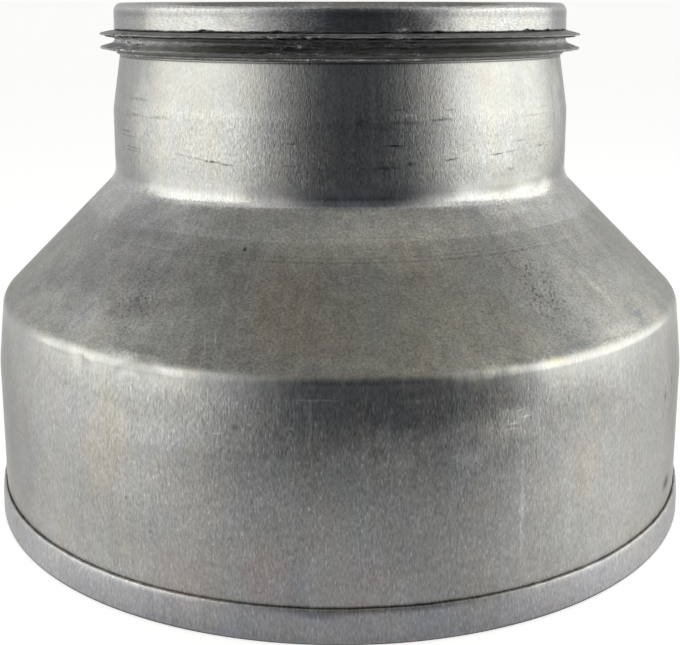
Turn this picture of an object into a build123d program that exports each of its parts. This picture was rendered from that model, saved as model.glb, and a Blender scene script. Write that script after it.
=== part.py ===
"""Duct reducer, 150 mm socket to 100 mm spigot, pressed in galvanised sheet with a clamped lip seal.

Millimetres, +Z up the axis. The origin is the centre of the plane that the large end stands on.
Outlines are drawn in the XZ plane as (radius, height) and turned about Z.
"""

import os
from math import asin, atan2, cos, degrees, hypot, radians, sin, tan

from build123d import *

# Sheet
SHEET = 0.5  # wall thickness

# Large end, a socket with a turned-back hem
SOCKET_BORE = 150.8  # inside diameter, goes over a 150 mm fitting
SOCKET_HEIGHT = 45.4  # foot to where the inside faces of socket and cone would cross
HEM_HEIGHT = 6.7  # foot to the raw edge of the hem
HEM_GAP = 0.45  # space closed in by the hem

# Shoulder, where the socket leans in before a tight bend to the cone
SHOULDER_LEAN = 6.0  # leaning wall to axis, in degrees
SHOULDER_INSET = 1.4  # corner of the tight bend inside the bore of the socket
SHOULDER_BEND = 3.2  # inside radius of the tight bend
SOCKET_BEND = 30.0  # inside radius where the socket starts to lean

# Cone
CONE_ANGLE = 45.0  # wall to axis, in degrees

# Small end, a spigot swaged in towards a rim that is folded over the seal
SPIGOT_DIAMETER = 99.6  # outside, goes into a 100 mm duct
SPIGOT_STRAIGHT = 14.75  # neck corner to the start of the swage
SWAGE_LENGTH = 22.3  # start of the swage to the top of the rim
NECK_BEND = 5.2  # outside radius between cone and spigot
SWAGE_BEND = 14.0  # inside radius where the swage starts
FOLD_INSET = 0.75  # outside of the fold inside the outside of the spigot
FOLD_HEIGHT = 5.55  # top of the rim to the raw edge of the fold
FOLD_BEND = 1.5  # outside radius of the rim

# Seal, a rubber ring with a tongue under the fold and two lips below it
SEAL_CLEARANCE = 0.05  # rubber to sheet
LIP_REACH = 3.1  # lip tip beyond the outside of the fold
LIP_ROOT = 1.6  # lip thickness where it leaves the ring
LIP_TIP = 0.3  # lip thickness at the tip
LIP_PITCH = 2.85  # middle of the upper lip to the middle of the lower one
FOOT_HEIGHT = 0.7  # ring below the lower lip
FOOT_INSET = 0.4  # outside of the foot inside the outside of the fold

# Radii and heights that follow
socket_r = SOCKET_BORE / 2
hem_bend = SHEET + HEM_GAP / 2
hem_r = socket_r + 2 * hem_bend
shoulder_r = socket_r - SHOULDER_INSET
shoulder_z = SOCKET_HEIGHT + SHOULDER_INSET / tan(radians(CONE_ANGLE))
lean_z = shoulder_z - SHOULDER_INSET / tan(radians(SHOULDER_LEAN))
spigot_bore_r = SPIGOT_DIAMETER / 2 - SHEET
fold_r = SPIGOT_DIAMETER / 2 - FOLD_INSET
neck_z = SOCKET_HEIGHT + (socket_r - spigot_bore_r) / tan(radians(CONE_ANGLE))
swage_z = neck_z + SPIGOT_STRAIGHT
rim_z = swage_z + SWAGE_LENGTH
fold_z = rim_z - FOLD_HEIGHT

# The swage runs straight from its start to a tangent of the rim's bend
bend_r = fold_r - FOLD_BEND
bend_z = rim_z - FOLD_BEND
swage_in = spigot_bore_r - bend_r
swage_up = bend_z - swage_z
swage_lean = atan2(swage_in, swage_up) + asin(FOLD_BEND / hypot(swage_in, swage_up))


def rim_tangent(radius):
    """Point where a line that leans as the swage does meets a circle about the rim's bend."""
    return (bend_r - radius * cos(swage_lean), bend_z - radius * sin(swage_lean))


def reducer_body():
    """One sheet, drawn along the face that lines the duct from the hem to the fold, and thickened."""
    rim_sweep = 180 + degrees(swage_lean)
    with BuildSketch(Plane.XZ) as section:
        with BuildLine():
            Line((hem_r, HEM_HEIGHT), (hem_r, hem_bend))
            CenterArc((socket_r + hem_bend, hem_bend), hem_bend, 0, -180)
            FilletPolyline(
                (socket_r, hem_bend),
                (socket_r, lean_z),
                (shoulder_r, shoulder_z),
                (spigot_bore_r, neck_z),
                (spigot_bore_r, swage_z),
                rim_tangent(FOLD_BEND),
                radius=(SOCKET_BEND, SHOULDER_BEND, NECK_BEND + SHEET, SWAGE_BEND),
            )
            CenterArc((bend_r, bend_z), FOLD_BEND, rim_sweep, -rim_sweep)
            Line((fold_r, bend_z), (fold_r, fold_z))
            offset(amount=SHEET, side=Side.RIGHT, closed=True)
        make_face()
    return revolve(section.sketch, Axis.Z)


def lip_seal():
    """Ring with a tongue inside the fold, two tapered lips, and a foot on the swage below them."""
    tongue_in, tongue_z = rim_tangent(FOLD_BEND - SHEET - SEAL_CLEARANCE)
    tongue_out = fold_r - SHEET - SEAL_CLEARANCE
    ring_z = fold_z - SEAL_CLEARANCE
    upper_z = ring_z - LIP_ROOT / 2
    lower_z = upper_z - LIP_PITCH
    foot_r = fold_r - FOOT_INSET
    foot_top = lower_z - LIP_ROOT / 2
    foot_z = foot_top - FOOT_HEIGHT
    foot_in = tongue_in + (tongue_z - foot_z) * tan(swage_lean)
    outline = [(foot_in, foot_z), (tongue_in, tongue_z), (tongue_out, tongue_z), (tongue_out, ring_z)]
    for lip_z in (upper_z, lower_z):
        outline += [
            (fold_r, lip_z + LIP_ROOT / 2),
            (fold_r + LIP_REACH, lip_z + LIP_TIP / 2),
            (fold_r + LIP_REACH, lip_z - LIP_TIP / 2),
            (fold_r, lip_z - LIP_ROOT / 2),
        ]
    outline += [(foot_r, foot_top), (foot_r, foot_z)]
    section = make_face(Plane.XZ * Polyline(*outline, close=True))
    return revolve(section, Axis.Z)


os.makedirs("parts", exist_ok=True)
export_step(reducer_body(), "parts/reducer_body.step")
export_step(lip_seal(), "parts/lip_seal.step")
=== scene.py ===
"""Looks of the duct reducer: worn galvanised sheet, a cracked rubber seal, a white studio sweep.

Metres, +Z up the axis. The origin is the centre of the plane that the large end stands on.
"""

from math import asin, atan2, cos, degrees, exp, hypot, pi, radians, sin, tan

import bpy
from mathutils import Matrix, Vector, noise


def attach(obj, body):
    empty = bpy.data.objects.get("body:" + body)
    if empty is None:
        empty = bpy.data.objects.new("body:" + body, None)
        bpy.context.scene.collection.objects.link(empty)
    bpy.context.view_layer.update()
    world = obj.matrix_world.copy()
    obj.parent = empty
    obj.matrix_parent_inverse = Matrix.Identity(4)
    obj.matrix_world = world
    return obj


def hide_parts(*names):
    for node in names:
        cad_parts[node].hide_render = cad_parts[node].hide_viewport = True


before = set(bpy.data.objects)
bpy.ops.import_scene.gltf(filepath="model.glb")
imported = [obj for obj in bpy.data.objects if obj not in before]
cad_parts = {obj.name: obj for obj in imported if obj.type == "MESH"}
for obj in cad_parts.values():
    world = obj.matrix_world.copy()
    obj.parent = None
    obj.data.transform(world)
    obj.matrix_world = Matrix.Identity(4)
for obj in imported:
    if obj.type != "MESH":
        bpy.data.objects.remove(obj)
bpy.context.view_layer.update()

MM = 0.001

# Sheet sizes in millimetres, as in the solids
SHEET = 0.5
SOCKET_R = 75.4
SOCKET_HEIGHT = 45.4
HEM_HEIGHT = 6.7
HEM_BEND = 0.725
SHOULDER_LEAN = 6.0
SHOULDER_INSET = 1.4
SHOULDER_BEND = 3.2
SOCKET_BEND = 30.0
SPIGOT_BORE_R = 49.3
SPIGOT_STRAIGHT = 14.75
SWAGE_LENGTH = 22.3
NECK_BEND = 5.7
SWAGE_BEND = 14.0
FOLD_R = 49.05
FOLD_HEIGHT = 5.55
FOLD_BEND = 1.5

# Seal sizes in millimetres, as in the solids
SEAL_CLEARANCE = 0.05
LIP_REACH = 3.1
LIP_ROOT = 1.6
LIP_TIP = 0.3
LIP_PITCH = 2.85
FOOT_HEIGHT = 0.7
FOOT_INSET = 0.4

# Sizes that follow
HEM_R = SOCKET_R + 2 * HEM_BEND
SHOULDER_R = SOCKET_R - SHOULDER_INSET
SHOULDER_Z = SOCKET_HEIGHT + SHOULDER_INSET
LEAN_Z = SHOULDER_Z - SHOULDER_INSET / tan(radians(SHOULDER_LEAN))
NECK_Z = SOCKET_HEIGHT + SOCKET_R - SPIGOT_BORE_R
SWAGE_Z = NECK_Z + SPIGOT_STRAIGHT
RIM_Z = SWAGE_Z + SWAGE_LENGTH
FOLD_Z = RIM_Z - FOLD_HEIGHT
BEND_R = FOLD_R - FOLD_BEND
BEND_Z = RIM_Z - FOLD_BEND
SWAGE_IN = SPIGOT_BORE_R - BEND_R
SWAGE_UP = BEND_Z - SWAGE_Z
SWAGE_LEAN = atan2(SWAGE_IN, SWAGE_UP) + asin(FOLD_BEND / hypot(SWAGE_IN, SWAGE_UP))

# Points round each piece, and the step between points of the seal's section in millimetres
SHEET_SEGMENTS = 600
SEAL_SEGMENTS = 1150
SEAL_STEP = 0.28

# Rings that the press left on the cone, in millimetres
RINGS = (63.4, 66.1)
RING_DEPTH = 0.035
RING_HALF = 0.25
RING_STEP = 0.15

# Wear of the sheet, in millimetres and degrees
EDGE_BEVEL = 0.07
HEM_BEVEL = 0.16
HEM_LEAN = 0.34
RIM_LEAN_Z = 106.4
RIM_LEAN_CURVE = 0.7
WAVE_LOW_Z = 8.0
WAVE_HIGH_Z = 96.0
PUCKER_AZIMUTH = -39
PUCKER_REACH = 8
FOLD_WEAR = 2.5
HEM_WEAR_Z = 2.0
NEAR = 0.01

# Wear of the seal, in millimetres and degrees, and parts of its width where its sides are painted
# lighter, a painted sheen
RING_TOP_Z = 102.9
UPPER_LIP_Z = 101.0
CRACK_FULL = 0.2
LIP_LOSS = 0.08
DROOP_AZIMUTH = 88
LIFT_AZIMUTH = 8
PAINTED_SHEEN_LEFT = (0.37, 0.79)
PAINTED_SHEEN_RIGHT = (0.45, 0.95)


def rim_tangent(radius):
    return (BEND_R - radius * cos(SWAGE_LEAN), BEND_Z - radius * sin(SWAGE_LEAN))


# Section paths, lists of (radius, height, normal in radius, normal in height)
def line(start, end, step):
    run, rise = end[0] - start[0], end[1] - start[1]
    length = hypot(run, rise)
    count = max(1, round(length / step))
    return [
        (start[0] + run * i / count, start[1] + rise * i / count, rise / length, -run / length)
        for i in range(count + 1)
    ]


def arc(centre, radius, start, sweep, count):
    side = 1 if sweep > 0 else -1
    points = []
    for i in range(count + 1):
        a = radians(start + sweep * i / count)
        x, y = cos(a), sin(a)
        points.append((centre[0] + radius * x, centre[1] + radius * y, side * x, side * y))
    return points


def filleted(corners, radii, steps, bends):
    """A polyline with rounded corners.

    Steps are lengths between points on the straights, bends are counts of points on the arcs.
    """
    path = []
    start = corners[0]
    for i, radius in enumerate(radii):
        corner, after = corners[i + 1], corners[i + 2]
        into = atan2(corner[1] - start[1], corner[0] - start[0])
        out = atan2(after[1] - corner[1], after[0] - corner[0])
        turn = out - into
        reach = radius * tan(abs(turn) / 2)
        side = 1 if turn > 0 else -1
        bend_in = (corner[0] - reach * cos(into), corner[1] - reach * sin(into))
        centre = (bend_in[0] - side * radius * sin(into), bend_in[1] + side * radius * cos(into))
        path += line(start, bend_in, steps[i])
        path += arc(centre, radius, degrees(into) - side * 90, degrees(turn), bends[i])[1:-1]
        start = (corner[0] + reach * cos(out), corner[1] + reach * sin(out))
    return path + line(start, corners[-1], steps[-1])


def with_rows(path, heights):
    """The same path with more points at these heights of its rising parts."""
    dense = [path[0]]
    for here, after in zip(path, path[1:]):
        for z in sorted(heights):
            if here[1] < z < after[1]:
                t = (z - here[1]) / (after[1] - here[1])
                dense.append(tuple(a + (b - a) * t for a, b in zip(here, after)))
        dense.append(after)
    return dense


def sheet_path(ends, wall):
    """The face that lines the duct, from the hem's raw edge to the fold's.

    Larger numbers give fewer rows of points at the ends and along the wall.
    """
    rim_sweep = 180 + degrees(SWAGE_LEAN)
    path = line((HEM_R, HEM_HEIGHT), (HEM_R, HEM_BEND), 1.2 * ends)
    path += arc((SOCKET_R + HEM_BEND, HEM_BEND), HEM_BEND, 0, -180, 12 // ends)[1:-1]
    path += filleted(
        [
            (SOCKET_R, HEM_BEND),
            (SOCKET_R, LEAN_Z),
            (SHOULDER_R, SHOULDER_Z),
            (SPIGOT_BORE_R, NECK_Z),
            (SPIGOT_BORE_R, SWAGE_Z),
            rim_tangent(FOLD_BEND),
        ],
        (SOCKET_BEND, SHOULDER_BEND, NECK_BEND, SWAGE_BEND),
        [step * wall for step in (4.0, 2.5, 2.6, 2.5, 2.2)],
        [max(2, bend // wall) for bend in (3, 9, 9, 4)],
    )
    path += arc((BEND_R, BEND_Z), FOLD_BEND, rim_sweep, -rim_sweep, 14 // ends)[1:-1]
    path += line((FOLD_R, BEND_Z), (FOLD_R, FOLD_Z), 0.45 * ends)
    return path


# Wear and unevenness, as functions of the angle round the axis and the height
def ripple(angle, height, round_scale, height_scale, seed):
    x, y = cos(angle) * round_scale, sin(angle) * round_scale
    return noise.noise((x, y, height * height_scale + seed))


def dip(value, at, half):
    return exp(-(((value - at) / half) ** 2))


def clamp(value):
    return min(1.0, max(0.0, value))


def smooth(low, high, value):
    t = clamp((value - low) / (high - low))
    return t * t * (3 - 2 * t)


def turn_from(angle, azimuth):
    """Degrees from an azimuth that is counted from the front to an angle round the axis."""
    return (degrees(angle) + 90 - azimuth + 180) % 360 - 180


def sheet_mesh():
    front = [(r, z) for r, z, nr, nz in sheet_path(1, 4)]
    drop = SHEET * sin(radians(45))
    ring_rows = [ring - drop + RING_STEP * step for ring in RINGS for step in range(-4, 5)]
    outside = with_rows(sheet_path(4, 1), ring_rows)
    back = [(r + SHEET * nr, z + SHEET * nz) for r, z, nr, nz in outside]
    loop = front[:-1]
    loop += [(FOLD_R, FOLD_Z + EDGE_BEVEL), (FOLD_R - EDGE_BEVEL, FOLD_Z)]
    loop += [(FOLD_R - SHEET + EDGE_BEVEL, FOLD_Z), (FOLD_R - SHEET, FOLD_Z + EDGE_BEVEL)]
    loop += back[-2:0:-1]
    loop += [(HEM_R - SHEET, HEM_HEIGHT - EDGE_BEVEL), (HEM_R - SHEET + EDGE_BEVEL, HEM_HEIGHT)]
    loop += [(HEM_R - HEM_BEVEL, HEM_HEIGHT), (HEM_R - HEM_BEVEL / 3, HEM_HEIGHT - HEM_BEVEL / 3)]
    loop[0] = (HEM_R, HEM_HEIGHT - HEM_BEVEL)
    return turned("galvanised_body", loop, sheet_wear, SHEET_SEGMENTS)


# Nicks in the raw edge of the fold: azimuth, depth in millimetres, half width in degrees
NICKS = [
    (-71, 0.12, 0.9),
    (-31, 0.42, 0.9),
    (-29, 0.20, 0.7),
    (-13, 0.22, 0.8),
    (9, 0.20, 0.7),
    (21, 0.24, 0.8),
    (47, 0.45, 1.0),
    (49.5, 0.30, 0.8),
    (57, 0.40, 0.8),
    (69, 0.30, 0.9),
    (112, 0.35, 0.9),
    (151, 0.28, 0.8),
    (188, 0.42, 1.0),
    (236, 0.33, 0.8),
    (262, 0.25, 0.7),
]


def sheet_wear(angle, r, z):
    """Waves in the walls, rings, a pucker on the shoulder, a leaning rim and ragged raw edges."""
    wave = 0.06 * ripple(angle, z, 2.2, 0.03, 3.1) + 0.03 * ripple(angle, z, 6.0, 0.06, 9.7)
    settle = clamp((z - WAVE_LOW_Z) / 6.0) * clamp((WAVE_HIGH_Z - z) / 8.0)
    outside_cone = r + z > SOCKET_R + SOCKET_HEIGHT + SHEET and SHOULDER_Z < z < NECK_Z
    in_fold = r > FOLD_R - SHEET - NEAR and z > FOLD_Z - NEAR
    on_hem = r > SOCKET_R + SHEET + 5 * NEAR and z < HEM_HEIGHT + NEAR
    r += wave * settle
    if outside_cone:
        r -= sum(RING_DEPTH * dip(z, ring, RING_HALF) for ring in RINGS)
    off = turn_from(angle, PUCKER_AZIMUTH)
    if abs(off) < PUCKER_REACH:
        hollow = 0.30 * dip(off, 0.0, 0.9) * dip(z, 45.6, 1.5)
        ridge = 0.18 * dip(off, 1.6, 0.8) * dip(z, 46.2, 1.2)
        r -= hollow - ridge
    if z > RIM_LEAN_Z and r > BEND_R and hypot(r - BEND_R, max(0.0, z - BEND_Z)) > FOLD_BEND - 0.05:
        lean = z - RIM_LEAN_Z
        curve, straight = min(lean, RIM_LEAN_CURVE), max(0.0, lean - RIM_LEAN_CURVE)
        pulled_in = 0.11 * curve**2 + 0.15 * straight
        r -= pulled_in * (r - BEND_R) / FOLD_BEND
    if in_fold:
        down = max(0.0, 1.0 - (z - FOLD_Z) / FOLD_WEAR) ** 2
        if r > FOLD_R - 0.1:
            r += 0.03 * (1.0 + ripple(angle, 0, 30.0, 0, 2.7)) * down
        ragged = 0.13 * ripple(angle, 0, 14.0, 0, 1.3) + 0.13 * ripple(angle, 0, 60.0, 0, 5.9)
        nicks = sum(depth * dip(turn_from(angle, at), 0.0, half) for at, depth, half in NICKS)
        z += (ragged + nicks) * down
    if on_hem:
        up = max(0.0, (z - HEM_WEAR_Z) / (HEM_HEIGHT - HEM_WEAR_Z)) ** 2
        ragged = 0.12 * ripple(angle, 0, 7.0, 0, 2.2) + 0.09 * ripple(angle, 0, 60.0, 0, 8.8)
        r -= HEM_LEAN * up * (1.0 + 0.25 * ripple(angle, 0, 45.0, 0, 6.6))
        z += ragged * up
    return r, z


def seal_mesh():
    """The ring with hollows between its lips and below them.

    Corners are radius, height, and the rubber's grey at the front and at the sides, with painted
    shade in the crevices under the fold, the lips and the foot, and painted highlights on the lips'
    tips and the foot.
    """
    tongue_in, tongue_z = rim_tangent(FOLD_BEND - SHEET - SEAL_CLEARANCE)
    tongue_out = FOLD_R - SHEET - SEAL_CLEARANCE
    ring_z = FOLD_Z - SEAL_CLEARANCE
    upper_z = ring_z - LIP_ROOT / 2
    lower_z = upper_z - LIP_PITCH
    tip_r = FOLD_R + LIP_REACH
    foot_r = FOLD_R - FOOT_INSET
    foot_top = lower_z - LIP_ROOT / 2
    foot_z = foot_top - FOOT_HEIGHT
    foot_in = tongue_in + (tongue_z - foot_z) * tan(SWAGE_LEAN)
    corners = [
        (foot_in, foot_z, 0.02, 0.02),
        (tongue_in, tongue_z, 0.05, 0.05),
        (tongue_out, tongue_z, 0.05, 0.05),
        (tongue_out, ring_z - 0.06, 0.03, 0.14),
        (FOLD_R - 0.1, ring_z - 0.1, 0.06, 0.24),
        (FOLD_R + 0.25, ring_z - 0.1, 0.15, 0.22),
        (FOLD_R + 0.9, ring_z - 0.19, 0.16, 0.15),
        (tip_r - 0.1, upper_z + LIP_TIP / 2, 0.17, 0.18),
        (tip_r, upper_z, 0.26, 0.50),
        (tip_r - 0.1, upper_z - LIP_TIP / 2, 0.42, 0.40),
        (tip_r - 0.25, upper_z - LIP_TIP / 2 - 0.01, 0.01, 0.10),
        (FOLD_R + 1.0, upper_z - 0.24, 0.005, 0.04),
        (FOLD_R + 1.0, upper_z - 0.4, 0.005, 0.04),
        (FOLD_R + 2.1, upper_z - 0.42, 0.05, 0.20),
        (FOLD_R + 1.9, upper_z - 0.55, 0.06, 0.26),
        (FOLD_R + 0.3, upper_z - LIP_ROOT / 2 + 0.02, 0.09, 0.42),
        (FOLD_R, upper_z - LIP_ROOT / 2 - 0.25, 0.12, 0.66),
        (FOLD_R + 0.04, lower_z + LIP_ROOT / 2 + 0.6, 0.12, 0.68),
        (FOLD_R + 0.22, lower_z + LIP_ROOT / 2 + 0.3, 0.11, 0.66),
        (FOLD_R + 0.65, lower_z + LIP_ROOT / 2 + 0.02, 0.09, 0.55),
        (tip_r - 0.1, lower_z + LIP_TIP / 2, 0.07, 0.55),
        (tip_r, lower_z, 0.13, 0.60),
        (tip_r - 0.1, lower_z - LIP_TIP / 2, 0.05, 0.14),
        (foot_r + 0.3, foot_top + 0.06, 0.012, 0.02),
        (foot_r - 0.06, foot_top - 0.06, 0.01, 0.015),
        (foot_r, foot_top - 0.12, 0.40, 0.38),
        (foot_r, foot_z + 0.28, 0.40, 0.38),
        (foot_r - 0.2, foot_z + 0.12, 0.01, 0.01),
    ]
    loop, greys = [], []
    for here, after in zip(corners, corners[1:] + corners[:1]):
        length = hypot(after[0] - here[0], after[1] - here[1])
        seen = min(here[0], after[0]) > FOLD_R - 0.6
        count = max(1, round(length / SEAL_STEP)) if seen else 1
        for i in range(count):
            r, z, front, side = (a + (b - a) * i / count for a, b in zip(here, after))
            loop.append((r, z))
            greys.append((front, side))
    piece = turned("rubber_seal", loop, seal_wear, SEAL_SEGMENTS)
    tones, cracks = [], []
    for j in range(SEAL_SEGMENTS):
        angle = 2 * pi * j / SEAL_SEGMENTS
        side = cos(angle)
        # The sides take the lighter greys, a painted sheen
        painted_sheen = smooth(*PAINTED_SHEEN_RIGHT, side) if side > 0 else smooth(*PAINTED_SHEEN_LEFT, -side)
        tones += [front + (flank - front) * painted_sheen for front, flank in greys]
        cracks += [cracked_depth(angle) / CRACK_FULL] * len(loop)
    piece.data.attributes.new("tone", "FLOAT", "POINT").data.foreach_set("value", tones)
    piece.data.attributes.new("cracked", "FLOAT", "POINT").data.foreach_set("value", cracks)
    return piece


# Cracked stretches of the seal: azimuth, half width in degrees, depth in millimetres
CRACKS = [
    (-56, 6, 0.30),
    (-34, 5, 0.10),
    (-9, 10, 0.34),
    (13, 7, 0.22),
    (70, 8, 0.05),
    (140, 12, 0.12),
    (205, 9, 0.15),
    (250, 8, 0.10),
]


def cracked_depth(angle):
    return 0.02 + sum(depth * dip(turn_from(angle, at), 0.0, half) for at, half, depth in CRACKS)


def seal_wear(angle, r, z):
    """Wavy lips that droop at one side and lift in front, and cracked stretches."""
    out = clamp((r - FOLD_R) / LIP_REACH)
    ring = clamp((r - FOLD_R + 0.3) / 0.3) * clamp((RING_TOP_Z - z) / 0.4)
    cracked = cracked_depth(angle)
    ridges = 2.0 * abs(ripple(angle, z, 24.0, 3.0, 3.3))
    crack = 0.5 - ridges + 0.5 * ripple(angle, z, 70.0, 5.0, 8.1)
    droop = 0.28 * dip(turn_from(angle, DROOP_AZIMUTH), 0.0, 40)
    if z > UPPER_LIP_Z:
        droop -= 0.20 * dip(turn_from(angle, LIFT_AZIMUTH), 0.0, 48)
    wavy = 0.16 * ripple(angle, z, 5.0, 0.4, 4.4) + 0.07 * ripple(angle, z, 22.0, 0.9, 7.7)
    z += out * (wavy - droop)
    frayed = 0.10 * ripple(angle, z, 9.0, 0.5, 1.9) + 0.05 * ripple(angle, z, 45.0, 1.2, 6.1)
    r += out * (frayed - LIP_LOSS)
    r += ring * cracked * crack * (1.0 - 0.8 * out)
    z += ring * out * cracked * crack
    return r, z


def new_piece(name, points, faces):
    mesh = bpy.data.meshes.new(name)
    mesh.from_pydata(points, [], faces)
    mesh.shade_smooth()
    mesh.update()
    piece = bpy.data.objects.new(name, mesh)
    bpy.context.scene.collection.objects.link(piece)
    return piece


def grid_faces(rows, columns, row_closes, column_closes):
    """Quads between rows of points, where rows or columns may close on their first point."""
    faces = []
    for i in range(rows if column_closes else rows - 1):
        here, after = i * columns, (i + 1) % rows * columns
        for j in range(columns if row_closes else columns - 1):
            k = (j + 1) % columns
            faces.append((here + j, here + k, after + k, after + j))
    return faces


def turned(name, loop, wear, segments):
    """A closed section turned about the axis, with each point moved by the wear."""
    points = []
    for j in range(segments):
        angle = 2 * pi * j / segments
        for r, z in loop:
            r, z = wear(angle, r, z)
            points.append((MM * r * cos(angle), MM * r * sin(angle), MM * z))
    return new_piece(name, points, grid_faces(segments, len(loop), True, True))


# Materials
def new_material(name):
    material = bpy.data.materials.new(name)
    material.use_nodes = True
    tree = material.node_tree
    return material, tree, tree.nodes["Principled BSDF"]


def node(tree, kind, **settings):
    made = tree.nodes.new(kind)
    for key, value in settings.items():
        setattr(made, key, value)
    return made


class Graph:
    """Short calls that add nodes to one material and give back their outputs."""

    def __init__(self, tree):
        self.tree = tree

    def feed(self, socket, value):
        if isinstance(value, bpy.types.NodeSocket):
            self.tree.links.new(value, socket)
        else:
            socket.default_value = value

    def add(self, kind, values, **settings):
        made = node(self.tree, kind, **settings)
        for socket, value in zip(made.inputs, values):
            self.feed(socket, value)
        return made.outputs

    def math(self, operation, *values):
        return self.add("ShaderNodeMath", values, operation=operation)[0]

    def vector(self, operation, *values, output=0):
        return self.add("ShaderNodeVectorMath", values, operation=operation)[output]

    def combine(self, x, y, z):
        return self.add("ShaderNodeCombineXYZ", (x, y, z))[0]

    def separate(self, vector):
        return self.add("ShaderNodeSeparateXYZ", (vector,))

    def scaled(self, vector, factor):
        made = node(self.tree, "ShaderNodeVectorMath", operation="SCALE")
        self.feed(made.inputs[0], vector)
        self.feed(made.inputs["Scale"], factor)
        return made.outputs[0]

    def place(self):
        """Place on the piece in millimetres."""
        return self.scaled(node(self.tree, "ShaderNodeTexCoord").outputs["Object"], 1 / MM)

    def grains(self, vector, scale, detail, roughness):
        made = node(self.tree, "ShaderNodeTexNoise")
        self.feed(made.inputs["Vector"], vector)
        made.inputs["Scale"].default_value = scale
        made.inputs["Detail"].default_value = detail
        made.inputs["Roughness"].default_value = roughness
        return made.outputs

    def noise(self, vector, scale, detail=2.0, roughness=0.55):
        return self.grains(vector, scale, detail, roughness)["Fac"]

    def shaken(self, vector, scale, reach):
        """The vector moved by noise, so that what is drawn with it gets a ragged outline."""
        colour = self.grains(vector, scale, 2.0, 0.5)["Color"]
        offset = self.vector("SUBTRACT", colour, (0.5, 0.5, 0.5))
        return self.vector("ADD", vector, self.scaled(offset, reach))

    def centred(self, value):
        return self.math("SUBTRACT", value, 0.5)

    def vary(self, shade, change, amount):
        """The shade made lighter or darker by a change of this amount."""
        return self.math("MULTIPLY", shade, self.math("MULTIPLY_ADD", change, amount, 1.0))

    def skin(self, vector):
        """Angle from the front in radians and height in millimetres of a place on the sheet."""
        x, y, rise = self.separate(vector)
        turn = self.math("ARCTAN2", x, self.math("MULTIPLY", y, -1.0))
        return self.combine(turn, 0.0, rise), turn, rise

    def spot(self, skin, azimuth, height, half_length, half_height, slope, change):
        """An oval on the sheet's skin with this change in its middle, fading to nothing."""
        vector, turn, rise = skin
        turn_at = radians(azimuth)
        r = skin_radius(height)
        lean = tan(radians(slope))
        if slope and half_length > half_height:
            vector = self.combine(turn, 0.0, self.math("MULTIPLY_ADD", turn, -lean * r, rise))
            height -= lean * r * turn_at
        elif slope:
            vector = self.combine(self.math("MULTIPLY_ADD", rise, lean / r, turn), 0.0, rise)
            turn_at += lean / r * height
        scale = (r / half_length, 0.0, 1.0 / half_height)
        offset = (-turn_at * scale[0], 0.0, -height * scale[2])
        away = self.vector("LENGTH", self.vector("MULTIPLY_ADD", vector, scale, offset), output=1)
        return self.remap(away, 1.0, SPOT_CORE, 0.0, change)

    def remap(self, value, low, high, to_low=0.0, to_high=1.0):
        made = node(self.tree, "ShaderNodeMapRange", interpolation_type="SMOOTHSTEP")
        self.feed(made.inputs["Value"], value)
        keys = ("From Min", "From Max", "To Min", "To Max")
        for key, limit in zip(keys, (low, high, to_low, to_high)):
            self.feed(made.inputs[key], limit)
        return made.outputs["Result"]

    def ramp(self, value, stops):
        made = node(self.tree, "ShaderNodeValToRGB")
        self.feed(made.inputs["Fac"], value)
        elements = made.color_ramp.elements
        while len(elements) < len(stops):
            elements.new(0.5)
        for element, (place, colour) in zip(elements, stops):
            element.position = place
            element.color = (*colour, 1)
        return made.outputs["Color"]

    def mix(self, factor, first, second, blend="MIX"):
        made = node(self.tree, "ShaderNodeMix", data_type="RGBA", blend_type=blend)
        self.feed(made.inputs[0], factor)
        self.feed(made.inputs[6], first)
        self.feed(made.inputs[7], second)
        return made.outputs[2]

    def bump(self, height, strength, depth):
        made = node(self.tree, "ShaderNodeBump")
        made.inputs["Strength"].default_value = strength
        made.inputs["Distance"].default_value = depth * MM
        self.feed(made.inputs["Height"], height)
        return made.outputs[0]


def skin_radius(height):
    if height < HEM_HEIGHT:
        return HEM_R
    if height < SOCKET_HEIGHT:
        return SOCKET_R + SHEET
    if height < NECK_Z:
        return SOCKET_R + SOCKET_HEIGHT + SHEET / sin(radians(45)) - height
    if height < SWAGE_Z:
        return SPIGOT_BORE_R + SHEET
    return SPIGOT_BORE_R + SHEET - (height - SWAGE_Z) * tan(SWAGE_LEAN)


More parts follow.
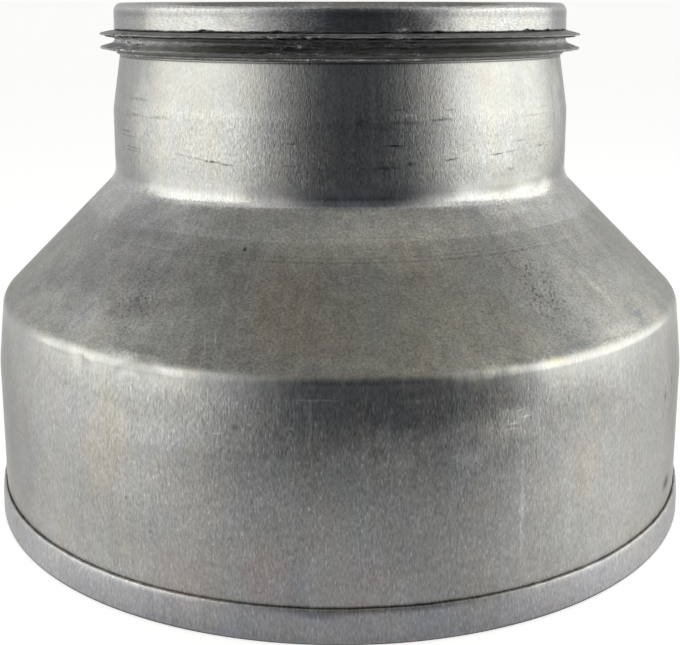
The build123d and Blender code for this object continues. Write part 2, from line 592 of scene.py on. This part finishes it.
# Tints of the sheet by height in millimetres, partly the zinc's own tone and partly painted light:
# a painted shadow along the hem's lower bend, painted highlights on the shoulder, neck, swage and
# fold bends, and painted shade in the bands beside them
SHEET_TINTS_AND_PAINTED_LIGHT = [
    (0.0, (0.07, 0.07, 0.074)),
    (0.5, (0.09, 0.09, 0.095)),
    (0.85, (0.46, 0.453, 0.465)),
    (6.4, (0.47, 0.463, 0.473)),
    (6.9, (0.464, 0.452, 0.432)),
    (24.0, (0.462, 0.455, 0.437)),
    (34.0, (0.428, 0.424, 0.414)),
    (41.0, (0.416, 0.414, 0.406)),
    (45.0, (0.465, 0.462, 0.45)),
    (46.6, (0.465, 0.462, 0.45)),
    (47.4, (0.385, 0.381, 0.364)),
    (63.0, (0.39, 0.386, 0.370)),
    (65.3, (0.40, 0.398, 0.386)),
    (66.6, (0.50, 0.499, 0.489)),
    (71.3, (0.50, 0.499, 0.490)),
    (72.6, (0.48, 0.479, 0.47)),
    (73.6, (0.37, 0.369, 0.36)),
    (77.5, (0.375, 0.374, 0.365)),
    (80.0, (0.41, 0.409, 0.398)),
    (86.8, (0.395, 0.394, 0.385)),
    (88.2, (0.43, 0.429, 0.416)),
    (90.0, (0.412, 0.411, 0.40)),
    (98.0, (0.41, 0.409, 0.398)),
    (103.0, (0.38, 0.38, 0.378)),
    (105.5, (0.385, 0.385, 0.383)),
    (105.85, (0.31, 0.311, 0.313)),
    (106.75, (0.31, 0.311, 0.313)),
    (107.05, (0.50, 0.50, 0.498)),
    (107.6, (0.50, 0.50, 0.498)),
    (107.9, (0.42, 0.42, 0.418)),
]

# Painted shade round the sheet, in the press rings on the cone and a painted shadow under the
# seal's foot: height, half height in millimetres, depth, whether the sides fade
PAINTED_SHADE_LINES = [
    (63.15, 0.32, 0.17, True),
    (63.8, 0.32, 0.15, True),
    (97.55, 0.30, 0.70, False),
]

# Roughness of the sheet by height in millimetres
SHEET_GLOSS = [
    (0.0, 0.40),
    (6.5, 0.36),
    (43.0, 0.34),
    (45.0, 0.26),
    (46.8, 0.26),
    (47.6, 0.44),
    (66.0, 0.42),
    (70.4, 0.38),
    (71.2, 0.20),
    (74.0, 0.19),
    (76.5, 0.29),
    (98.0, 0.29),
    (103.0, 0.22),
]

# Rub marks and scratches: azimuth, height, half length, half height in mm, slope, change of shade
RUBS = [
    (21.9, 87.3, 3.2, 0.45, 1, -0.45),
    (11.1, 82.8, 3.2, 0.28, 0, -0.60),
    (-29.5, 79.2, 2.0, 0.38, -4, -0.50),
    (-24.9, 78.8, 1.9, 0.30, -3, -0.35),
    (-37.5, 80.0, 2.4, 0.25, -2, -0.22),
    (24.6, 79.9, 2.4, 0.30, 3, -0.42),
    (14.9, 79.4, 1.6, 0.60, 0, -0.30),
    (-44.5, 86.7, 3.2, 0.28, 0, -0.30),
    (-54.0, 86.7, 4.5, 0.26, 0, -0.25),
    (-54.0, 89.8, 5.5, 0.26, 0, -0.25),
    (-61.0, 83.0, 4.5, 0.26, -1, -0.25),
    (-57.0, 79.9, 6.5, 0.28, 0, -0.28),
    (36.5, 80.2, 2.6, 0.26, 3, -0.32),
    (41.5, 77.1, 2.0, 0.36, 3, -0.25),
    (14.5, 86.9, 5.5, 0.55, 0, -0.22),
    (12.7, 89.3, 2.4, 0.25, 0, -0.25),
    (24.2, 89.0, 1.5, 0.25, 0, -0.30),
    (-10.5, 83.2, 2.2, 0.32, 0, -0.30),
    (-11.0, 79.1, 2.6, 0.30, 0, -0.25),
    (44.4, 82.4, 2.0, 0.25, 2, -0.25),
    (52.9, 80.7, 2.4, 0.30, 2, -0.25),
    (14.2, 88.2, 2.4, 0.50, 0, 0.25),
    (-28.0, 87.9, 15.0, 0.18, 0, 0.10),
    (-19.2, 51.0, 0.22, 2.8, 26, 0.34),
    (-17.6, 51.1, 0.20, 2.8, 26, 0.30),
    (-55.5, 62.7, 0.25, 1.4, 20, 0.35),
    (24.5, 39.7, 1.5, 0.20, 5, 0.45),
    (25.0, 38.4, 1.9, 0.20, 3, 0.40),
    (-16.0, 37.0, 1.6, 0.22, 4, 0.30),
    (23.2, 37.5, 1.6, 0.22, 2, 0.45),
    (22.6, 36.6, 2.2, 0.24, 0, 0.30),
    (20.3, 37.2, 1.2, 0.24, 0, 0.30),
    (-3.0, 43.6, 5.0, 0.30, 0, 0.40),
    (9.4, 43.1, 3.0, 0.60, 0, 0.30),
    (9.0, 38.0, 3.0, 0.70, 0, 0.22),
    (24.7, 22.0, 0.7, 15.0, 0, 0.18),
    (47.2, 56.0, 1.5, 5.0, 25, 0.14),
    (58.2, 32.0, 0.55, 3.0, 0, -0.50),
    (62.0, 33.2, 0.60, 2.6, 0, -0.45),
    (57.6, 28.4, 0.55, 1.0, 0, -0.40),
    (13.3, 103.6, 1.6, 0.45, 6, 1.50),
    (-53.0, 86.4, 12.0, 0.24, 0, -0.17),
    (-60.0, 82.1, 7.0, 0.24, 0, -0.20),
    (-58.0, 79.3, 10.0, 0.24, 0, -0.20),
    (-31.0, 79.4, 8.5, 0.26, -5, -0.24),
    (-54.0, 89.5, 8.0, 0.22, 0, -0.15),
    (55.0, 88.3, 8.0, 0.22, 1, -0.13),
    (50.0, 86.9, 7.0, 0.22, 2, -0.15),
    (56.0, 84.0, 6.0, 0.22, 3, -0.14),
    (41.0, 80.4, 7.0, 0.26, 3, -0.20),
    (10.0, 78.7, 4.0, 0.50, 0, -0.30),
    (-31.5, 57.0, 0.6, 2.6, 10, 0.16),
]

# Stains and worn patches, with painted highlights and painted shade on the cone, shoulder, neck and
# socket: azimuth, height, half length, half height in mm, colour to multiply by
STAINS_AND_PAINTED_LIGHT = [
    (-44.0, 60.0, 24.0, 13.0, (0.73, 0.74, 0.77)),
    (-38.0, 52.5, 16.0, 5.0, (0.82, 0.82, 0.83)),
    (-40.0, 52.0, 12.0, 4.5, (1.32, 1.32, 1.31)),
    (-31.0, 52.0, 5.0, 1.6, (1.22, 1.22, 1.21)),
    (-32.5, 54.6, 5.0, 1.8, (0.84, 0.84, 0.85)),
    (-29.0, 49.0, 8.0, 0.9, (0.84, 0.84, 0.85)),
    (-30.0, 47.9, 9.0, 0.8, (1.50, 1.50, 1.48)),
    (-30.0, 46.3, 11.0, 1.5, (0.84, 0.84, 0.83)),
    (-46.0, 48.9, 6.0, 1.6, (0.84, 0.84, 0.84)),
    (-43.0, 46.2, 6.0, 1.3, (0.84, 0.84, 0.84)),
    (46.0, 48.9, 8.0, 1.3, (1.30, 1.30, 1.30)),
    (36.0, 48.4, 6.0, 0.7, (0.86, 0.90, 0.98)),
    (53.0, 49.8, 4.0, 0.8, (0.80, 0.85, 0.92)),
    (-25.0, 59.5, 16.0, 5.0, (0.89, 0.89, 0.89)),
    (-46.0, 68.0, 14.0, 6.0, (0.76, 0.76, 0.77)),
    (-60.0, 54.5, 9.0, 4.0, (0.82, 0.82, 0.83)),
    (-8.0, 57.0, 15.0, 12.0, (1.06, 1.0, 0.94)),
    (14.0, 54.0, 24.0, 14.0, (1.20, 1.19, 1.13)),
    (7.0, 67.0, 28.0, 7.0, (1.46, 1.45, 1.40)),
    (20.0, 48.2, 20.0, 2.8, (1.18, 1.17, 1.13)),
    (2.0, 48.4, 18.0, 2.4, (1.18, 1.17, 1.14)),
    (38.0, 74.6, 11.0, 3.2, (0.84, 0.84, 0.84)),
    (37.0, 69.8, 9.0, 1.9, (1.28, 1.28, 1.27)),
    (38.0, 73.4, 10.0, 1.2, (0.86, 0.86, 0.86)),
    (54.0, 74.2, 7.0, 2.4, (0.82, 0.82, 0.82)),
    (-52.0, 70.8, 6.0, 1.3, (0.82, 0.82, 0.82)),
    (0.0, 71.4, 12.0, 0.9, (0.78, 0.78, 0.78)),
    (11.3, 80.9, 3.4, 1.5, (1.22, 1.22, 1.12)),
    (0.0, 74.0, 15.0, 3.2, (1.42, 1.42, 1.41)),
    (47.0, 81.0, 9.0, 6.5, (0.86, 0.86, 0.85)),
    (-31.0, 85.0, 10.0, 14.0, (0.94, 0.94, 0.94)),
    (-54.0, 87.0, 4.0, 14.0, (1.15, 1.15, 1.15)),
    (65.0, 87.0, 4.0, 14.0, (1.22, 1.22, 1.22)),
    (64.0, 93.0, 4.0, 6.0, (1.14, 1.14, 1.14)),
    (-5.5, 105.0, 5.5, 3.6, (1.55, 1.55, 1.57)),
    (-24.5, 105.2, 5.0, 3.0, (0.80, 0.80, 0.80)),
    (17.5, 104.6, 4.2, 2.6, (0.60, 0.60, 0.61)),
    (50.0, 59.0, 9.0, 8.0, (0.86, 0.87, 0.88)),
    (52.6, 50.4, 4.0, 3.0, (0.82, 0.84, 0.89)),
    (-17.6, 64.7, 0.5, 0.5, (0.25, 0.25, 0.26)),
    (31.0, 47.0, 3.0, 0.9, (1.05, 1.02, 0.82)),
    (-28.0, 45.8, 11.0, 2.5, (0.76, 0.76, 0.75)),
    (-28.0, 40.0, 14.0, 5.0, (0.88, 0.88, 0.87)),
    (21.0, 43.0, 14.0, 6.0, (0.70, 0.70, 0.70)),
    (35.0, 38.0, 18.0, 6.0, (0.78, 0.78, 0.785)),
    (6.0, 42.0, 30.0, 5.0, (0.80, 0.80, 0.81)),
    (9.0, 35.6, 32.0, 3.6, (1.40, 1.39, 1.37)),
    (-66.0, 26.0, 14.0, 30.0, (0.80, 0.805, 0.82)),
    (66.0, 26.0, 12.0, 30.0, (0.77, 0.773, 0.78)),
    (-56.0, 20.0, 18.0, 20.0, (0.81, 0.815, 0.835)),
    (23.5, 38.2, 4.0, 2.6, (1.22, 1.22, 1.20)),
    (-36.0, 19.0, 20.0, 14.0, (0.85, 0.85, 0.85)),
    (-33.0, 33.0, 6.0, 16.0, (1.04, 1.0, 0.94)),
    (36.0, 28.0, 6.0, 12.0, (1.04, 1.0, 0.95)),
    (3.0, 10.0, 7.0, 10.0, (1.05, 0.99, 1.0)),
    (-9.5, 11.0, 6.0, 10.0, (1.05, 0.99, 1.0)),
    (-22.0, 10.0, 9.0, 8.0, (1.04, 0.99, 0.99)),
    (-6.0, 9.5, 4.0, 7.0, (0.95, 0.97, 1.03)),
    (61.8, 11.9, 3.8, 2.0, (0.26, 0.27, 0.25)),
    (-13.5, 38.4, 1.2, 1.0, (0.66, 0.66, 0.67)),
    (-29.9, 22.3, 0.5, 0.6, (0.62, 0.62, 0.62)),
    (-26.1, 17.0, 0.6, 0.6, (0.68, 0.68, 0.68)),
    (-2.6, 5.6, 5.5, 1.0, (0.68, 0.69, 0.72)),
]

# Areas of dark specks: azimuth, height, half length, half height in mm, depth
SPECKS = [
    (-33.5, 55.5, 7.0, 8.0, 1.0),
    (34.6, 56.2, 7.0, 10.0, 1.2),
    (-60.0, 60.0, 8.0, 6.0, 0.5),
    (54.0, 79.5, 7.0, 4.0, 0.7),
    (120.0, 55.0, 10.0, 8.0, 0.8),
    (200.0, 58.0, 9.0, 9.0, 0.9),
]


# Areas in front: azimuth, height, half length, half height in mm
# The front middle, where the reflection is dark; the grain's contrast and the painted glints are
# raised there
DARK_MIDDLE = (0.0, 55.0, 55.0, 70.0)
RINGS_IN_FRONT = (12.0, 63.5, 52.0, 6.0)

# Heights in millimetres where a finish starts, is full, starts to fade and has gone
CONE_FINISH = (46.8, 47.6, 71.6, 73.0)
PRESSED_FINISH = (43.0, 45.0, 74.0, 77.0)

# Heights in millimetres where a finish starts and is full
SOCKET_FINISH = (47.6, 46.8)
SWAGE_FINISH = (87.5, 89.0)
FOLD_FINISH = (102.4, 102.9)
HEM_CUT = (6.2, 6.5)
FOLD_CUT = (103.5, 103.1)

# Radius in millimetres where the grain has its true width, and its relief on walls and bends
GRAIN_RADIUS = 60.0
GRAIN_RELIEF = 4.8
PRESSED_RELIEF = 0.5
GRAIN_DEPTH = 0.008

# Colours to multiply by and limits of the marks, in millimetres and in change of shade
COOL_PATCH = (0.982, 1.0, 1.02, 1)
WARM_PATCH = (1.018, 1.0, 0.975, 1)
RUBBER_CAST = (0.975, 0.968, 1.03)
RAGGED_ABOVE = 2.0
DARKEST_RUB = -0.8
SPOT_CORE = 0.15
CRUMB_DEPTH = 0.1


def steel_material():
    material, tree, shader = new_material("galvanised_steel")
    g = Graph(tree)
    place = g.place()
    x, y, height = g.separate(place)
    flat = g.combine(x, y, 0.0)
    radius = g.vector("LENGTH", flat, output=1)
    around = g.scaled(g.vector("NORMALIZE", flat), GRAIN_RADIUS)

    def drawn(across, along):
        """Place for marks that are stretched round the sheet or up it by smaller numbers."""
        rise = g.combine(0.0, 0.0, g.math("MULTIPLY", height, along))
        return g.vector("ADD", g.scaled(around, across), rise)

    def blend(factor, first, second):
        return g.math("MULTIPLY_ADD", factor, g.math("SUBTRACT", second, first), first)

    def band(low, low_full, high_full, high):
        return g.math("MULTIPLY", g.remap(height, low, low_full), g.remap(height, high, high_full))

    # Zones of the sheet
    on_cone = band(*CONE_FINISH)
    on_fold = g.remap(height, *FOLD_FINISH)
    on_socket = g.remap(height, *SOCKET_FINISH)
    on_swage = g.remap(height, *SWAGE_FINISH)
    pressed = band(*PRESSED_FINISH)

    # Grain that is drawn up the walls, runs round the fold and is specked on the cone
    speckle = g.noise(place, 2.4, 2.0, 0.6)
    fine_lines = g.noise(drawn(1.0, 0.24), 4.0, 2.0, 0.6)
    lines = blend(on_socket, g.noise(drawn(1.0, 0.45), 3.2, 1.0, 0.6), fine_lines)
    grain = blend(on_cone, lines, speckle)
    grain = g.centred(blend(on_fold, grain, g.noise(drawn(0.42, 1.0), 3.2, 2.0, 0.6)))
    mottle = g.centred(g.noise(g.shaken(place, 0.2, 6.0), 0.28, 4.0, 0.68))
    hue = g.noise(g.vector("ADD", drawn(1.0, 0.45), (11.0, 47.0, 3.0)), 0.16, 3.0, 0.6)
    streaks = g.centred(g.noise(drawn(1.0, 0.05), 0.9, 3.0, 0.6))
    clouds = g.centred(g.noise(place, 0.09, 4.0, 0.65))

    # Tint and painted light by height, cool and warm patches, and stains with painted highlights
    # and shade
    along = g.math("DIVIDE", height, RIM_Z)
    tint_and_painted_light = g.ramp(along, [(z / RIM_Z, colour) for z, colour in SHEET_TINTS_AND_PAINTED_LIGHT])
    patches = g.mix(g.remap(hue, 0.38, 0.64), COOL_PATCH, WARM_PATCH)
    tint_and_painted_light = g.mix(1.0, tint_and_painted_light, patches, "MULTIPLY")
    still = g.skin(place)
    ragged = g.skin(g.shaken(place, 0.22, 9.0))
    # Real stains together with painted highlights and painted shade that shift the reflections on
    # the bends
    stains_and_painted_light = (1.0, 1.0, 1.0, 1.0)
    for *area, colour in STAINS_AND_PAINTED_LIGHT:
        outline = ragged if min(area[2:]) > RAGGED_ABOVE else still
        stains_and_painted_light = g.mix(g.spot(outline, *area, 0, 1.0), stains_and_painted_light, (*colour, 1), "MULTIPLY")
    tint_and_painted_light = g.mix(1.0, tint_and_painted_light, stains_and_painted_light, "MULTIPLY")

    # Contrast of the grain in each zone; in the front middle it is raised, a painted sparkle where
    # the reflection is dark
    off_cone = g.math("SUBTRACT", 1.0, on_cone)
    middle = g.math("MULTIPLY", g.spot(still, *DARK_MIDDLE, 0, 1.0), off_cone)
    bends = g.math("MULTIPLY", pressed, off_cone)
    contrast = g.math("MULTIPLY_ADD", on_socket, -0.05, 1.0)
    contrast = g.math("MULTIPLY_ADD", on_cone, 0.4, contrast)
    contrast = g.math("MULTIPLY_ADD", on_swage, -0.35, contrast)
    contrast = g.math("MULTIPLY_ADD", on_fold, 0.45, contrast)
    contrast = g.math("MULTIPLY_ADD", middle, 0.55, contrast)
    contrast = g.math("MULTIPLY_ADD", bends, -0.5, contrast)

    # Grain, mottle, streaks, clouds and painted glints, lighter specks of colour that are stronger
    # in the front middle
    shade = g.math("MULTIPLY_ADD", grain, contrast, 1.0)
    shade = g.vary(shade, mottle, g.math("MULTIPLY_ADD", on_cone, 0.45, 0.25))
    shade = g.vary(shade, streaks, 0.28)
    shade = g.vary(shade, clouds, 0.30)
    painted_glitter = g.math("MULTIPLY_ADD", middle, 0.25, 0.24)
    painted_glints = g.remap(g.noise(drawn(1.0, 0.24), 4.6, 1.0, 0.5), 0.58, 0.72, 0.0, painted_glitter)
    plain = g.math("MAXIMUM", pressed, on_swage)
    shade = g.vary(shade, painted_glints, g.math("SUBTRACT", 1.0, plain))

    # Painted shade in the press rings and a painted shadow under the seal's foot
    in_front = g.spot(still, *RINGS_IN_FRONT, 0, 1.0)
    for at, half_height, depth, fades in PAINTED_SHADE_LINES:
        off = g.math("ABSOLUTE", g.math("SUBTRACT", height, at))
        amount = g.remap(off, 0.0, half_height, depth, 0.0)
        if fades:
            amount = g.math("MULTIPLY", amount, in_front)
        shade = g.math("MULTIPLY", shade, g.math("SUBTRACT", 1.0, amount))

    # Rub marks, scratches and specks
    rubbed = g.skin(g.shaken(place, 0.5, 0.45))
    worn = 0.0
    for rub in RUBS:
        worn = g.math("ADD", worn, g.spot(rubbed, *rub))
    breaks = g.remap(g.noise(drawn(1.0, 0.8), 0.8, 2.0), 0.34, 0.56, 0.5, 1.7)
    worn = g.math("MAXIMUM", g.math("MULTIPLY", worn, breaks), DARKEST_RUB)
    shade = g.math("MULTIPLY", shade, g.math("ADD", worn, 1.0))
    specked = 0.0
    for *area, depth in SPECKS:
        specked = g.math("MAXIMUM", specked, g.spot(ragged, *area, 0, depth))
    specks = g.remap(g.noise(place, 1.7, 2.0, 0.6), 0.52, 0.70, 0.0, 0.6)
    shade = g.vary(shade, specked, g.math("MULTIPLY", specks, -1.0))

    # Bright bits on the raw edges of hem and fold: bare cut metal with painted highlights
    on_hem = g.remap(radius, HEM_R - 0.42, HEM_R - 0.3)
    bare_metal_and_highlights = g.remap(g.noise(drawn(1.0, 1.0), 1.1, 2.0), 0.55, 0.68, 0.0, 0.45)
    hem_edge = g.math("MULTIPLY", g.remap(height, *HEM_CUT), on_hem)
    fold_edge = g.math("MULTIPLY", g.remap(height, *FOLD_CUT), on_fold)
    shade = g.vary(shade, g.math("MAXIMUM", hem_edge, fold_edge), bare_metal_and_highlights)
    colour = g.mix(1.0, tint_and_painted_light, g.combine(shade, shade, shade), "MULTIPLY")
    g.feed(shader.inputs["Base Color"], colour)

    # Gloss by height, and the grain's relief
    gloss = g.ramp(along, [(z / RIM_Z, (value, value, value)) for z, value in SHEET_GLOSS])
    gloss = g.math("MULTIPLY_ADD", streaks, 0.15, gloss)
    gloss = g.math("MULTIPLY_ADD", grain, 0.10, gloss)
    g.feed(shader.inputs["Roughness"], gloss)
    relief = g.math("MULTIPLY", grain, blend(pressed, GRAIN_RELIEF, PRESSED_RELIEF))
    g.feed(shader.inputs["Normal"], g.bump(relief, 1.0, GRAIN_DEPTH))
    shader.inputs["Metallic"].default_value = 1.0
    shader.inputs["Specular Tint"].default_value = (0.66, 0.66, 0.66, 1)
    return material


def rubber_material():
    material, tree, shader = new_material("seal_rubber")
    g = Graph(tree)
    place = g.place()
    # The tone carries the rubber's grey with painted shade in the crevices, painted highlights on
    # the tips and foot, and the sides' painted sheen
    tone = node(tree, "ShaderNodeAttribute", attribute_name="tone").outputs["Fac"]
    cracked = node(tree, "ShaderNodeAttribute", attribute_name="cracked").outputs["Fac"]
    crumbs = g.noise(place, 2.6, 3.0, 0.7)
    strata = g.noise(g.vector("MULTIPLY", place, (0.16, 0.16, 1.0)), 2.6, 3.0, 0.7)
    dust = g.noise(g.vector("MULTIPLY", place, (1.0, 1.0, 3.0)), 0.45, 3.0, 0.6)
    crumbled = g.math("MULTIPLY_ADD", cracked, 1.6, 1.2)
    layered = g.math("MULTIPLY_ADD", cracked, 2.0, 2.2)
    shade = g.math("MULTIPLY_ADD", g.centred(crumbs), crumbled, 1.0)
    shade = g.vary(shade, g.centred(strata), layered)
    shade = g.math("MAXIMUM", g.math("MULTIPLY", shade, g.math("ADD", dust, 0.5)), 0.05)
    flecks = g.math("MULTIPLY", g.remap(crumbs, 0.53, 0.64), g.remap(strata, 0.47, 0.59))
    flecks = g.math("MULTIPLY", flecks, g.math("MULTIPLY_ADD", cracked, 0.28, 0.01))
    grey = g.math("MULTIPLY_ADD", tone, shade, flecks)
    colour = g.vector("MULTIPLY", g.combine(grey, grey, grey), RUBBER_CAST)
    g.feed(shader.inputs["Base Color"], colour)
    g.feed(shader.inputs["Normal"], g.bump(crumbs, 0.6, CRUMB_DEPTH))
    shader.inputs["Roughness"].default_value = 0.45
    shader.inputs["Specular IOR Level"].default_value = 0.6
    shader.inputs["Sheen Weight"].default_value = 0.2
    shader.inputs["Sheen Roughness"].default_value = 0.4
    return material


body = sheet_mesh()
body.data.materials.append(steel_material())
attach(body, "root")
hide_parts("reducer_body")

seal = seal_mesh()
seal.data.materials.append(rubber_material())
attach(seal, "root")
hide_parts("lip_seal")


# Studio, in metres
SWEEP_COLUMNS = 96
SWEEP_GLOW = 0.75
WORLD_COLOUR = (0.335, 0.33, 0.312, 1)
LAMP_COLOUR = (1.0, 1.0, 0.90)

# Rows of the card: radius, height, level, cover, azimuths of full and no cover at left and right
CARD_ROWS = [
    (0.0772, 0.0003, 0.34, 1.0, 8, 60, 14, 54),
    (0.080, 0.0004, 0.47, 1.0, 8, 60, 14, 54),
    (0.105, 0.0006, 0.51, 1.0, 8, 62, 16, 56),
    (0.126, 0.0008, 0.43, 1.0, 9, 62, 20, 60),
    (0.157, 0.0010, 0.21, 1.0, 10, 60, 24, 64),
    (0.19, 0.0015, 0.12, 1.0, 11, 56, 29, 67),
    (0.24, 0.004, 0.11, 1.0, 11, 52, 34, 70),
    (0.30, 0.05, 0.105, 1.0, 8.5, 46, 24, 57),
    (0.36, 0.11, 0.04, 1.0, 8.5, 45, 24, 56),
    (0.42, 0.20, 0.11, 1.0, 8.5, 45, 24, 56),
    (0.48, 0.40, 0.11, 1.0, 8.5, 45, 24, 56),
    (0.50, 0.60, 0.11, 0.0, 8.5, 45, 24, 56),
]
CARD_COLUMNS = list(range(-64, 69, 2))
CARD_BEND_Z = 0.01
FLOOR_TONE = (0.945, 0.96, 0.985)
WALL_TONE = (0.83, 0.89, 1.02)


def on_floor(azimuth, distance):
    """Place at an azimuth in degrees from the front."""
    a = radians(azimuth - 90)
    return distance * cos(a), distance * sin(a)


def stage_piece(name, points, faces, material):
    piece = new_piece(name, points, faces)
    piece.data.materials.append(material)
    return piece


def white_material():
    """Pale floor paint that the camera, metal and glass see as white, with the shadow kept."""
    material, tree, shader = new_material("white_sweep")
    shader.inputs["Base Color"].default_value = (0.82, 0.82, 0.82, 1)
    shader.inputs["Roughness"].default_value = 0.9
    shader.inputs["Specular IOR Level"].default_value = 0.0
    shader.inputs["Emission Color"].default_value = (1, 1, 1, 1)
    g = Graph(tree)
    path = node(tree, "ShaderNodeLightPath").outputs
    seen = g.math("ADD", path["Is Camera Ray"], path["Is Glossy Ray"])
    seen = g.math("ADD", seen, path["Is Transmission Ray"])
    g.feed(shader.inputs["Emission Strength"], g.math("MULTIPLY", seen, SWEEP_GLOW))
    return material


def make_sweep():
    """A round floor that curves up into a wall."""
    profile = [(0.001, 0.0), (0.3, 0.0), (0.8, 0.0), (1.5, 0.0)]
    profile += [(1.5 + sin(radians(a)), 1.0 - cos(radians(a))) for a in range(9, 91, 9)]
    profile += [(2.5, 2.4)]
    turns = [2 * pi * j / SWEEP_COLUMNS for j in range(SWEEP_COLUMNS)]
    points = [(r * cos(a), r * sin(a), z) for r, z in profile for a in turns]
    faces = grid_faces(len(profile), SWEEP_COLUMNS, True, False)
    stage_piece("sweep", points, faces, white_material())


def card_material():
    material, tree, shader = new_material("dark_card")
    tree.nodes.remove(shader)
    g = Graph(tree)
    shade = node(tree, "ShaderNodeAttribute", attribute_name="shade").outputs["Color"]
    cover = node(tree, "ShaderNodeAttribute", attribute_name="cover").outputs["Fac"]
    clear = node(tree, "ShaderNodeBsdfTransparent").outputs[0]
    # The glow is painted shade, seen only in reflections
    glow = g.add("ShaderNodeEmission", (shade,))[0]
    surface = g.add("ShaderNodeMixShader", (cover, clear, glow))[0]
    g.feed(tree.nodes["Material Output"].inputs["Surface"], surface)
    return material


def make_card():
    """A graded dark card on the floor in front that curves up behind, seen in gloss alone; its glow
    is painted shade of the floor in front and of a dark wall behind the camera.
    """
    points, shades, covers = [], [], []
    for r, z, level, cover, left_full, left_none, right_full, right_none in CARD_ROWS:
        tone = WALL_TONE if z > CARD_BEND_Z else FLOOR_TONE
        for azimuth in CARD_COLUMNS:
            points.append((*on_floor(azimuth, r), z))
            shades += [*(level * part for part in tone), 1.0]
            left = 1 - smooth(left_full, left_none, -azimuth)
            right = 1 - smooth(right_full, right_none, azimuth)
            covers.append(cover * (left * right))
    faces = grid_faces(len(CARD_ROWS), len(CARD_COLUMNS), False, False)
    card = stage_piece("front_card", points, faces, card_material())
    card.data.attributes.new("shade", "FLOAT_COLOR", "POINT").data.foreach_set("color", shades)
    card.data.attributes.new("cover", "FLOAT", "POINT").data.foreach_set("value", covers)
    card.visible_camera = False
    card.visible_diffuse = False
    card.visible_shadow = False


def softbox(name, azimuth, distance, height, width, tall, radiance):
    lamp = bpy.data.lights.new(name, "AREA")
    lamp.shape = "RECTANGLE"
    lamp.size = width
    lamp.size_y = tall
    lamp.energy = radiance * pi * width * tall
    lamp.color = LAMP_COLOUR
    holder = bpy.data.objects.new(name, lamp)
    holder.location = (*on_floor(azimuth, distance), height)
    aim = Vector((0, 0, height)) - holder.location
    holder.rotation_euler = aim.to_track_quat("-Z", "Y").to_euler()
    holder.visible_camera = False
    bpy.context.scene.collection.objects.link(holder)


make_sweep()
make_card()
softbox("softbox_left", -73, 0.45, 0.15, 0.50, 0.30, 1.1)
softbox("softbox_right", 88, 0.45, 0.15, 0.58, 0.30, 1.3)

world = bpy.data.worlds.new("studio")
world.use_nodes = True
world.node_tree.nodes["Background"].inputs["Color"].default_value = WORLD_COLOUR
bpy.context.scene.world = world

# Camera, in pixels, metres and degrees
FOCAL_PIXELS = 1111.243
IMAGE_WIDTH = 680
IMAGE_HEIGHT = 645
HORIZON_ROW = 227
SENSOR_WIDTH = 36
CAMERA_PLACE = (0, -0.24977, 0.10714)
CAMERA_TILT = 11.076

camera_data = bpy.data.cameras.new("camera")
camera_data.sensor_width = SENSOR_WIDTH
camera_data.lens = SENSOR_WIDTH * FOCAL_PIXELS / IMAGE_WIDTH
camera_data.shift_y = (HORIZON_ROW - IMAGE_HEIGHT / 2) / IMAGE_WIDTH
camera_data.clip_start = 0.01
camera = bpy.data.objects.new("camera", camera_data)
camera.location = CAMERA_PLACE
camera.rotation_euler = (radians(90 - CAMERA_TILT), 0, 0)
bpy.context.scene.collection.objects.link(camera)
bpy.context.scene.camera = camera
bpy.context.scene.view_settings.view_transform = "Standard"
